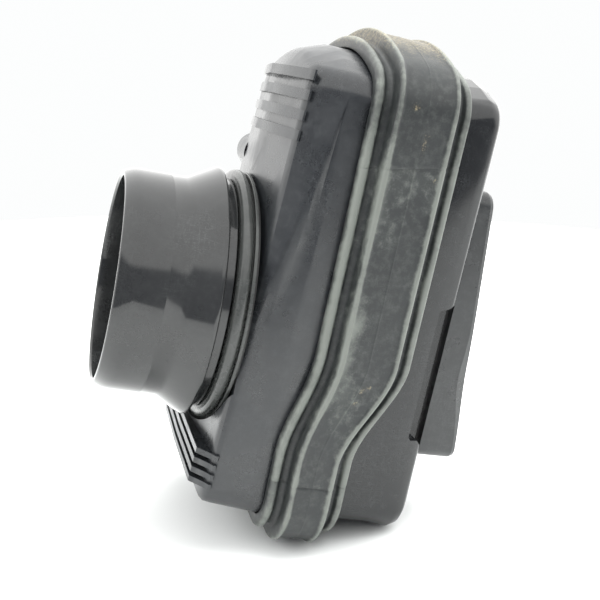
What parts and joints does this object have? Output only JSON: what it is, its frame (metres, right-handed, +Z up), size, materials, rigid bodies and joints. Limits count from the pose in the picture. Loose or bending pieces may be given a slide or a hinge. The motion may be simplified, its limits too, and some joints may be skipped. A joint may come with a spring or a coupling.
{
  "type": "air filter housing",
  "caption": "Two-part engine air filter housing with a swivelling round hose spigot, a stepped rubber joint band, a flat-sided inlet collar and a panel filter element.",
  "frame": {"origin": "on the hose spigot's axis, at the middle of its hose land", "axes": "+X runs along the spigot's axis into the housing, +Z is up along the housing's height, -Y is the side seen in front"},
  "size_m": [0.1179, 0.091, 0.1606],
  "materials": {
    "shell_satin": "satin",
    "rear_gloss": "gloss",
    "spigot_gloss": "high gloss",
    "ring_satin": "satin",
    "collar_satin": "satin",
    "band_rubber": "matte, dusty",
    "seal_rubber": "matte",
    "grid_plastic": "matte",
    "zinc_steel": "zinc plated",
    "insert_brass": "knurled",
    "frame_plastic": "soft moulded",
    "filter_paper": "resin paper",
    "glue_bead": "hot-melt",
    "screen_wire": "woven wire",
    "foam": "open-cell foam"
  },
  "bodies": {
    "front": {"front_shell": "shell_satin", "spigot_ring": "ring_satin", "spigot_grommet": "seal_rubber", "mount_inserts": "insert_brass", "support_grid": "grid_plastic", "grid_screws": "zinc_steel", "seal_band": "band_rubber"},
    "spigot": {"outlet_spigot": "spigot_gloss", "spigot_o_ring": "seal_rubber", "spigot_snap_ring": "zinc_steel"},
    "rear": {"rear_shell": "rear_gloss", "inlet_collar": "collar_satin", "collar_gasket": "seal_rubber", "collar_screws": "zinc_steel"},
    "drain": {"drain_plug": "seal_rubber"},
    "element": {"filter_frame": "frame_plastic", "filter_gasket": "seal_rubber", "pleat_pack": "filter_paper", "pleat_beads": "glue_bead", "element_screen": "screen_wire", "foam_prefilter": "foam", "pull_tab": "frame_plastic"}
  },
  "joints": [
    {"name": "spigot_swivel", "type": "hinge", "parent": "front", "child": "spigot", "pos_m": [0, 0, 0], "axis": [1, 0, 0], "continuous": true},
    {"name": "rear_pull", "type": "slide", "parent": "front", "child": "rear", "axis": [1, 0, 0], "range_m": [0, 0.12]},
    {"name": "element_slide", "type": "slide", "parent": "front", "child": "element", "axis": [1, 0, 0], "range_m": [0, 0.06]},
    {"name": "drain_pull", "type": "slide", "parent": "rear", "child": "drain", "axis": [0, 0, -1], "range_m": [0, 0.02]}
  ],
  "couplings": [
    {"joint": "element_slide", "follows": "rear_pull", "ratio": 0.5}
  ]
}
